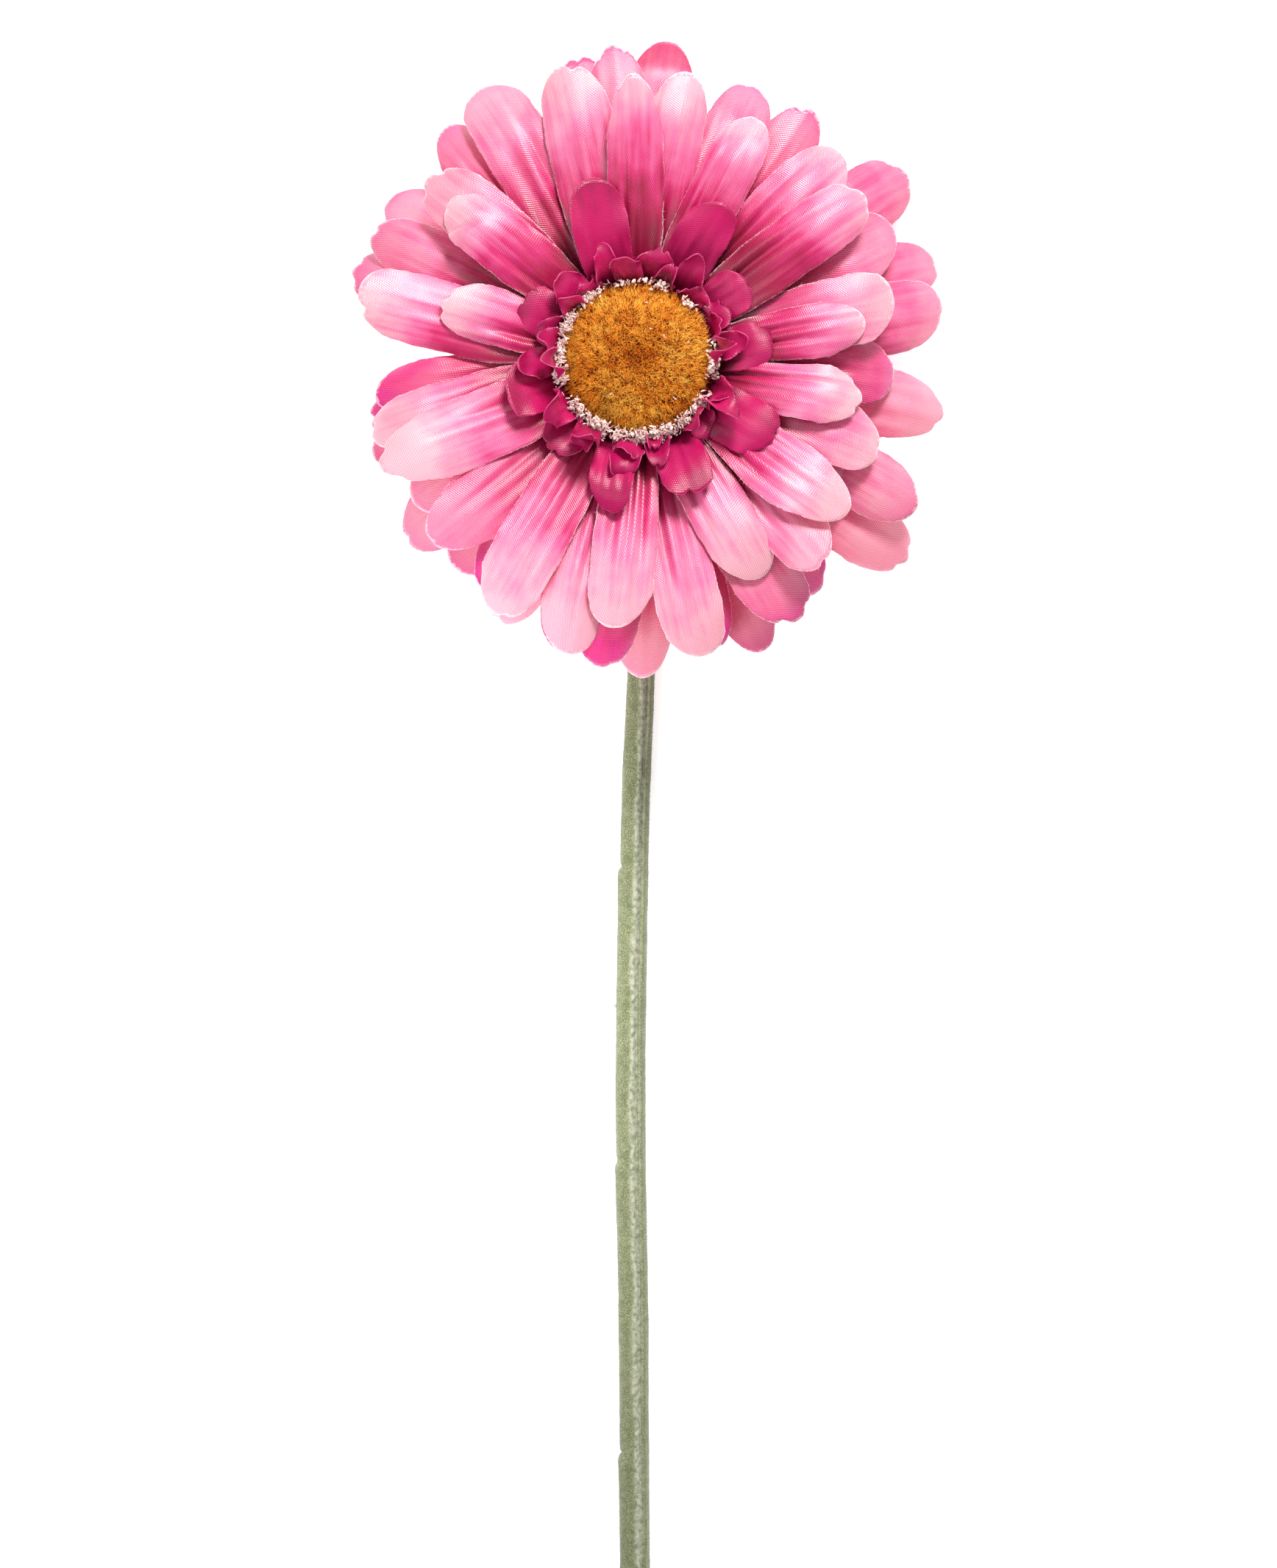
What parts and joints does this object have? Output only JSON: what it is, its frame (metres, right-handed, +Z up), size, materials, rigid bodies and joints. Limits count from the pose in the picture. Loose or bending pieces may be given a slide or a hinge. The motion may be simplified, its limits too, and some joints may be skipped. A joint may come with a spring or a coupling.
{
  "type": "artificial gerbera",
  "caption": "Artificial gerbera lying face up: overlapping satin petals round a plush centre, on a long flocked stem that bends at the neck.",
  "frame": {"origin": "on the surface that the flower lies on, under the middle of its bounding box", "axes": "+Z up; +Y along the stem from its cut end to the head; +X to the right when the flower is seen from above with its head at the top"},
  "size_m": [0.1061, 0.4619, 0.0515],
  "materials": {
    "green_flock": "short flocked pile over a foam strip, dull",
    "steel_wire": "plain drawn wire",
    "green_moulded_plastic": "moulded, matt",
    "milky_plastic": "translucent white moulding",
    "pink_satin": "woven satin, dyed from pale pink tips to deep pink roots",
    "magenta_satin": "woven satin, dyed deep magenta",
    "brown_plastic": "moulded, hidden by the plush",
    "amber_plush": "long soft pile",
    "white_flock_crumbs": "loose flock crumbs, glued"
  },
  "bodies": {
    "root": {"stem_sleeve": "green_flock", "stem_wire": "steel_wire", "calyx_cup": "green_moulded_plastic", "sepal_ring": "green_moulded_plastic", "hub_peg": "milky_plastic", "spacer_1": "milky_plastic", "spacer_2": "milky_plastic", "spacer_3": "milky_plastic", "spacer_4": "milky_plastic", "spacer_5": "milky_plastic", "spacer_6": "milky_plastic", "spacer_7": "milky_plastic", "ray_layer_1": "pink_satin", "ray_layer_2": "pink_satin", "ray_layer_3": "pink_satin", "ray_layer_4": "pink_satin", "ray_layer_5": "pink_satin", "collar_layer_1": "magenta_satin", "collar_layer_2": "magenta_satin", "collar_layer_3": "magenta_satin", "disc_base": "brown_plastic", "disc_pile": "amber_plush", "crumb_ring": "white_flock_crumbs"}
  },
  "joints": []
}
